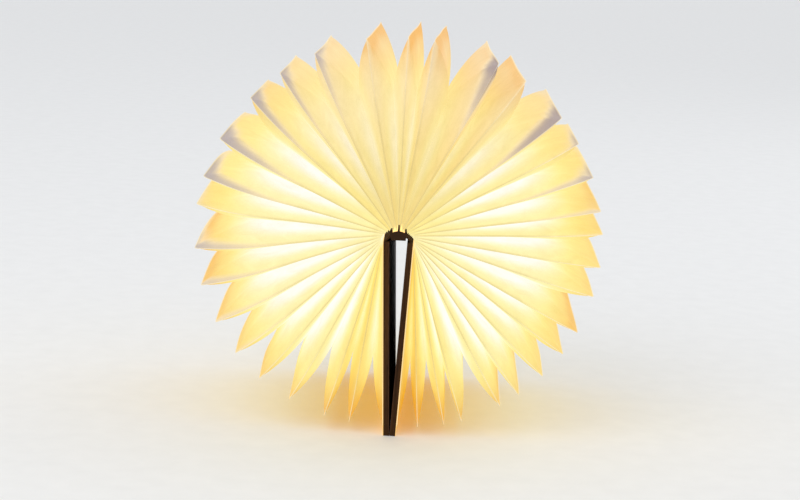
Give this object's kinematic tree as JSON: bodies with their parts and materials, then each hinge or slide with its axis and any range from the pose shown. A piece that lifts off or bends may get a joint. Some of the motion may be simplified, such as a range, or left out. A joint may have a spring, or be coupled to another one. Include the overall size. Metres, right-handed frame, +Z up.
{
  "type": "folding book lamp",
  "caption": "Book-shaped lamp opened right round: wooden covers back to back as its stand, a light bar in the spine, and a pleated paper shade that fans out between the covers",
  "frame": {"origin": "centre of the footprint, on the surface that the covers' fore-edges stand on", "axes": "+Z up, +Y along the spine away from the viewer, +X to the right cover's side; open lamp"},
  "size_m": [0.3275, 0.215, 0.3245],
  "materials": {
    "walnut": "satin walnut veneer, dark, fine straight grain",
    "board": "dark-stained board edge, satin",
    "liner": "matt spun paper, lit from inside",
    "shade_paper": "matt spun-bonded paper with faint fibres, lit from inside",
    "cap": "matt dark brown moulded plastic",
    "channel": "black anodised extrusion, satin",
    "diffuser": "frosted, lit from below",
    "led_board": "white solder mask",
    "led": "phosphor, lit",
    "battery": "shrink foil",
    "wire": "red wire jacket",
    "circuit": "green solder mask",
    "steel": "plated steel",
    "reed": "clear glass tube",
    "hinge_cloth": "dark book cloth over card"
  },
  "bodies": {
    "spine": {"spine_strip": "walnut", "light_channel": "channel", "diffuser": "diffuser", "led_board": "led_board", "leds": "led", "battery": "battery", "battery_wires": "wire", "charge_board": "circuit", "usb_socket": "steel", "reed_switch": "reed", "front_end_cap": "cap", "back_end_cap": "cap"},
    "left_flap": {"left_flap": "hinge_cloth"},
    "right_flap": {"right_flap": "hinge_cloth"},
    "left_cover": {"left_cover_board": "board", "left_cover_veneer": "walnut", "left_cover_liner": "liner", "left_cover_magnets": "steel"},
    "right_cover": {"right_cover_board": "board", "right_cover_veneer": "walnut", "right_cover_liner": "liner", "right_cover_magnets": "steel"},
    "leaf_01": {"leaf_01": "shade_paper"},
    "leaf_02": {"leaf_02": "shade_paper"},
    "leaf_03": {"leaf_03": "shade_paper"},
    "leaf_04": {"leaf_04": "shade_paper"},
    "leaf_05": {"leaf_05": "shade_paper"},
    "leaf_06": {"leaf_06": "shade_paper"},
    "leaf_07": {"leaf_07": "shade_paper"},
    "leaf_08": {"leaf_08": "shade_paper"},
    "leaf_09": {"leaf_09": "shade_paper"},
    "leaf_10": {"leaf_10": "shade_paper"},
    "leaf_11": {"leaf_11": "shade_paper"},
    "leaf_12": {"leaf_12": "shade_paper"},
    "leaf_13": {"leaf_13": "shade_paper"},
    "leaf_14": {"leaf_14": "shade_paper"},
    "leaf_15": {"leaf_15": "shade_paper"},
    "leaf_16": {"leaf_16": "shade_paper"},
    "leaf_17": {"leaf_17": "shade_paper"},
    "leaf_18": {"leaf_18": "shade_paper"},
    "leaf_19": {"leaf_19": "shade_paper"},
    "leaf_20": {"leaf_20": "shade_paper"},
    "leaf_21": {"leaf_21": "shade_paper"},
    "leaf_22": {"leaf_22": "shade_paper"},
    "leaf_23": {"leaf_23": "shade_paper"},
    "leaf_24": {"leaf_24": "shade_paper"},
    "leaf_25": {"leaf_25": "shade_paper"},
    "leaf_26": {"leaf_26": "shade_paper"},
    "leaf_27": {"leaf_27": "shade_paper"},
    "leaf_28": {"leaf_28": "shade_paper"},
    "leaf_29": {"leaf_29": "shade_paper"},
    "leaf_30": {"leaf_30": "shade_paper"},
    "leaf_31": {"leaf_31": "shade_paper"},
    "leaf_32": {"leaf_32": "shade_paper"},
    "leaf_33": {"leaf_33": "shade_paper"},
    "leaf_34": {"leaf_34": "shade_paper"},
    "left_end_sheet": {"left_end_sheet": "shade_paper"},
    "right_end_sheet": {"right_end_sheet": "shade_paper"}
  },
  "joints": [
    {"name": "left_cover_hinge", "type": "hinge", "parent": "left_flap", "child": "left_cover", "pos_m": [-0.00983, 0, 0.16123], "axis": [0, 1, 0], "range_deg": [0, 92.53]},
    {"name": "left_flap_hinge", "type": "hinge", "parent": "spine", "child": "left_flap", "pos_m": [-0.007, 0, 0.16406], "axis": [0, 1, 0], "range_deg": [0, 90.01]},
    {"name": "right_flap_hinge", "type": "hinge", "parent": "spine", "child": "right_flap", "pos_m": [0.007, 0, 0.16406], "axis": [0, -1, 0], "range_deg": [0, 90.01]},
    {"name": "right_cover_hinge", "type": "hinge", "parent": "right_flap", "child": "right_cover", "pos_m": [0.00983, 0, 0.16123], "axis": [0, -1, 0], "range_deg": [0, 92.54]},
    {"name": "leaf_01_fold", "type": "hinge", "parent": "spine", "child": "leaf_01", "pos_m": [-0.00927, 0, 0.16406], "axis": [0, 1, 0], "range_deg": [0, 172.06], "deforming": ["leaf_01"]},
    {"name": "leaf_02_fold", "type": "hinge", "parent": "spine", "child": "leaf_02", "pos_m": [-0.0087, 0, 0.16406], "axis": [0, 1, 0], "range_deg": [0, 161.54], "deforming": ["leaf_02"]},
    {"name": "leaf_03_fold", "type": "hinge", "parent": "spine", "child": "leaf_03", "pos_m": [-0.00814, 0, 0.16406], "axis": [0, 1, 0], "range_deg": [0, 150.96], "deforming": ["leaf_03"]},
    {"name": "leaf_04_fold", "type": "hinge", "parent": "spine", "child": "leaf_04", "pos_m": [-0.00758, 0, 0.16406], "axis": [0, 1, 0], "range_deg": [0, 140.28], "deforming": ["leaf_04"]},
    {"name": "leaf_05_fold", "type": "hinge", "parent": "spine", "child": "leaf_05", "pos_m": [-0.00702, 0, 0.16406], "axis": [0, 1, 0], "range_deg": [0, 129.49], "deforming": ["leaf_05"]},
    {"name": "leaf_06_fold", "type": "hinge", "parent": "spine", "child": "leaf_06", "pos_m": [-0.00646, 0, 0.16406], "axis": [0, 1, 0], "range_deg": [0, 118.54], "deforming": ["leaf_06"]},
    {"name": "leaf_07_fold", "type": "hinge", "parent": "spine", "child": "leaf_07", "pos_m": [-0.0059, 0, 0.16406], "axis": [0, 1, 0], "range_deg": [0, 107.44], "deforming": ["leaf_07"]},
    {"name": "leaf_08_fold", "type": "hinge", "parent": "spine", "child": "leaf_08", "pos_m": [-0.00534, 0, 0.16406], "axis": [0, 1, 0], "range_deg": [0, 96.17], "deforming": ["leaf_08"]},
    {"name": "leaf_09_fold", "type": "hinge", "parent": "spine", "child": "leaf_09", "pos_m": [-0.00477, 0, 0.16406], "axis": [0, 1, 0], "range_deg": [0, 84.73], "deforming": ["leaf_09"]},
    {"name": "leaf_10_fold", "type": "hinge", "parent": "spine", "child": "leaf_10", "pos_m": [-0.00421, 0, 0.16406], "axis": [0, 1, 0], "range_deg": [0, 73.14], "deforming": ["leaf_10"]},
    {"name": "leaf_11_fold", "type": "hinge", "parent": "spine", "child": "leaf_11", "pos_m": [-0.00365, 0, 0.16406], "axis": [0, 1, 0], "range_deg": [0, 61.39], "deforming": ["leaf_11"]},
    {"name": "leaf_12_fold", "type": "hinge", "parent": "spine", "child": "leaf_12", "pos_m": [-0.00309, 0, 0.16406], "axis": [0, 1, 0], "range_deg": [0, 49.52], "deforming": ["leaf_12"]},
    {"name": "leaf_13_fold", "type": "hinge", "parent": "spine", "child": "leaf_13", "pos_m": [-0.00253, 0, 0.16406], "axis": [0, 1, 0], "range_deg": [0, 37.56], "deforming": ["leaf_13"]},
    {"name": "leaf_14_fold", "type": "hinge", "parent": "spine", "child": "leaf_14", "pos_m": [-0.00197, 0, 0.16406], "axis": [0, 1, 0], "range_deg": [0, 25.53], "deforming": ["leaf_14"]},
    {"name": "leaf_15_fold", "type": "hinge", "parent": "spine", "child": "leaf_15", "pos_m": [-0.0014, 0, 0.16406], "axis": [0, 1, 0], "range_deg": [0, 13.47], "deforming": ["leaf_15"]},
    {"name": "leaf_16_fold", "type": "hinge", "parent": "spine", "child": "leaf_16", "pos_m": [-0.00084, 0, 0.16406], "axis": [0, 1, 0], "range_deg": [0, 1.43], "deforming": ["leaf_16"]},
    {"name": "leaf_17_fold", "type": "hinge", "parent": "spine", "child": "leaf_17", "pos_m": [-0.00028, 0, 0.16406], "axis": [0, -1, 0], "range_deg": [0, 10.56], "deforming": ["leaf_17"]},
    {"name": "leaf_18_fold", "type": "hinge", "parent": "spine", "child": "leaf_18", "pos_m": [0.00028, 0, 0.16406], "axis": [0, -1, 0], "range_deg": [0, 22.43], "deforming": ["leaf_18"]},
    {"name": "leaf_19_fold", "type": "hinge", "parent": "spine", "child": "leaf_19", "pos_m": [0.00084, 0, 0.16406], "axis": [0, -1, 0], "range_deg": [0, 34.13], "deforming": ["leaf_19"]},
    {"name": "leaf_20_fold", "type": "hinge", "parent": "spine", "child": "leaf_20", "pos_m": [0.0014, 0, 0.16406], "axis": [0, -1, 0], "range_deg": [0, 45.64], "deforming": ["leaf_20"]},
    {"name": "leaf_21_fold", "type": "hinge", "parent": "spine", "child": "leaf_21", "pos_m": [0.00197, 0, 0.16406], "axis": [0, -1, 0], "range_deg": [0, 56.91], "deforming": ["leaf_21"]},
    {"name": "leaf_22_fold", "type": "hinge", "parent": "spine", "child": "leaf_22", "pos_m": [0.00253, 0, 0.16406], "axis": [0, -1, 0], "range_deg": [0, 67.9], "deforming": ["leaf_22"]},
    {"name": "leaf_23_fold", "type": "hinge", "parent": "spine", "child": "leaf_23", "pos_m": [0.00309, 0, 0.16406], "axis": [0, -1, 0], "range_deg": [0, 78.58], "deforming": ["leaf_23"]},
    {"name": "leaf_24_fold", "type": "hinge", "parent": "spine", "child": "leaf_24", "pos_m": [0.00365, 0, 0.16406], "axis": [0, -1, 0], "range_deg": [0, 88.93], "deforming": ["leaf_24"]},
    {"name": "leaf_25_fold", "type": "hinge", "parent": "spine", "child": "leaf_25", "pos_m": [0.00421, 0, 0.16406], "axis": [0, -1, 0], "range_deg": [0, 98.94], "deforming": ["leaf_25"]},
    {"name": "leaf_26_fold", "type": "hinge", "parent": "spine", "child": "leaf_26", "pos_m": [0.00477, 0, 0.16406], "axis": [0, -1, 0], "range_deg": [0, 108.59], "deforming": ["leaf_26"]},
    {"name": "leaf_27_fold", "type": "hinge", "parent": "spine", "child": "leaf_27", "pos_m": [0.00534, 0, 0.16406], "axis": [0, -1, 0], "range_deg": [0, 117.88], "deforming": ["leaf_27"]},
    {"name": "leaf_28_fold", "type": "hinge", "parent": "spine", "child": "leaf_28", "pos_m": [0.0059, 0, 0.16406], "axis": [0, -1, 0], "range_deg": [0, 126.83], "deforming": ["leaf_28"]},
    {"name": "leaf_29_fold", "type": "hinge", "parent": "spine", "child": "leaf_29", "pos_m": [0.00646, 0, 0.16406], "axis": [0, -1, 0], "range_deg": [0, 135.47], "deforming": ["leaf_29"]},
    {"name": "leaf_30_fold", "type": "hinge", "parent": "spine", "child": "leaf_30", "pos_m": [0.00702, 0, 0.16406], "axis": [0, -1, 0], "range_deg": [0, 143.8], "deforming": ["leaf_30"]},
    {"name": "leaf_31_fold", "type": "hinge", "parent": "spine", "child": "leaf_31", "pos_m": [0.00758, 0, 0.16406], "axis": [0, -1, 0], "range_deg": [0, 151.88], "deforming": ["leaf_31"]},
    {"name": "leaf_32_fold", "type": "hinge", "parent": "spine", "child": "leaf_32", "pos_m": [0.00814, 0, 0.16406], "axis": [0, -1, 0], "range_deg": [0, 159.74], "deforming": ["leaf_32"]},
    {"name": "leaf_33_fold", "type": "hinge", "parent": "spine", "child": "leaf_33", "pos_m": [0.0087, 0, 0.16406], "axis": [0, -1, 0], "range_deg": [0, 167.44], "deforming": ["leaf_33"]},
    {"name": "leaf_34_fold", "type": "hinge", "parent": "spine", "child": "leaf_34", "pos_m": [0.00927, 0, 0.16406], "axis": [0, -1, 0], "range_deg": [0, 175.02], "deforming": ["leaf_34"]},
    {"name": "left_end_sheet_fold", "type": "hinge", "parent": "spine", "child": "left_end_sheet", "pos_m": [-0.00983, 0, 0.16406], "axis": [0, 1, 0], "range_deg": [0, 182.54], "deforming": ["left_end_sheet"]},
    {"name": "right_end_sheet_fold", "type": "hinge", "parent": "spine", "child": "right_end_sheet", "pos_m": [0.00983, 0, 0.16406], "axis": [0, -1, 0], "range_deg": [0, 182.54], "deforming": ["right_end_sheet"]}
  ],
  "couplings": [
    {"joint": "left_flap_hinge", "follows": "left_cover_hinge", "ratio": 0.97265},
    {"joint": "right_flap_hinge", "follows": "left_cover_hinge", "ratio": 0.97265},
    {"joint": "right_cover_hinge", "follows": "left_cover_hinge", "ratio": 1},
    {"joint": "leaf_01_fold", "follows": "left_cover_hinge", "ratio": 1.8594},
    {"joint": "leaf_02_fold", "follows": "left_cover_hinge", "ratio": 1.7457},
    {"joint": "leaf_03_fold", "follows": "left_cover_hinge", "ratio": 1.6314},
    {"joint": "leaf_04_fold", "follows": "left_cover_hinge", "ratio": 1.516},
    {"joint": "leaf_05_fold", "follows": "left_cover_hinge", "ratio": 1.3993},
    {"joint": "leaf_06_fold", "follows": "left_cover_hinge", "ratio": 1.281},
    {"joint": "leaf_07_fold", "follows": "left_cover_hinge", "ratio": 1.161},
    {"joint": "leaf_08_fold", "follows": "left_cover_hinge", "ratio": 1.0392},
    {"joint": "leaf_09_fold", "follows": "left_cover_hinge", "ratio": 0.91563},
    {"joint": "leaf_10_fold", "follows": "left_cover_hinge", "ratio": 0.7903},
    {"joint": "leaf_11_fold", "follows": "left_cover_hinge", "ratio": 0.66338},
    {"joint": "leaf_12_fold", "follows": "left_cover_hinge", "ratio": 0.5351},
    {"joint": "leaf_13_fold", "follows": "left_cover_hinge", "ratio": 0.40577},
    {"joint": "leaf_14_fold", "follows": "left_cover_hinge", "ratio": 0.27576},
    {"joint": "leaf_15_fold", "follows": "left_cover_hinge", "ratio": 0.14547},
    {"joint": "leaf_16_fold", "follows": "left_cover_hinge", "ratio": 0.01538},
    {"joint": "leaf_17_fold", "follows": "left_cover_hinge", "ratio": 0.11403},
    {"joint": "leaf_18_fold", "follows": "left_cover_hinge", "ratio": 0.24225},
    {"joint": "leaf_19_fold", "follows": "left_cover_hinge", "ratio": 0.36879},
    {"joint": "leaf_20_fold", "follows": "left_cover_hinge", "ratio": 0.49317},
    {"joint": "leaf_21_fold", "follows": "left_cover_hinge", "ratio": 0.61494},
    {"joint": "leaf_22_fold", "follows": "left_cover_hinge", "ratio": 0.73371},
    {"joint": "leaf_23_fold", "follows": "left_cover_hinge", "ratio": 0.84916},
    {"joint": "leaf_24_fold", "follows": "left_cover_hinge", "ratio": 0.96102},
    {"joint": "leaf_25_fold", "follows": "left_cover_hinge", "ratio": 1.0691},
    {"joint": "leaf_26_fold", "follows": "left_cover_hinge", "ratio": 1.1734},
    {"joint": "leaf_27_fold", "follows": "left_cover_hinge", "ratio": 1.2739},
    {"joint": "leaf_28_fold", "follows": "left_cover_hinge", "ratio": 1.3706},
    {"joint": "leaf_29_fold", "follows": "left_cover_hinge", "ratio": 1.4639},
    {"joint": "leaf_30_fold", "follows": "left_cover_hinge", "ratio": 1.554},
    {"joint": "leaf_31_fold", "follows": "left_cover_hinge", "ratio": 1.6413},
    {"joint": "leaf_32_fold", "follows": "left_cover_hinge", "ratio": 1.7263},
    {"joint": "leaf_33_fold", "follows": "left_cover_hinge", "ratio": 1.8094},
    {"joint": "leaf_34_fold", "follows": "left_cover_hinge", "ratio": 1.8913},
    {"joint": "left_end_sheet_fold", "follows": "left_cover_hinge", "ratio": 1.9727},
    {"joint": "right_end_sheet_fold", "follows": "left_cover_hinge", "ratio": 1.9727}
  ]
}
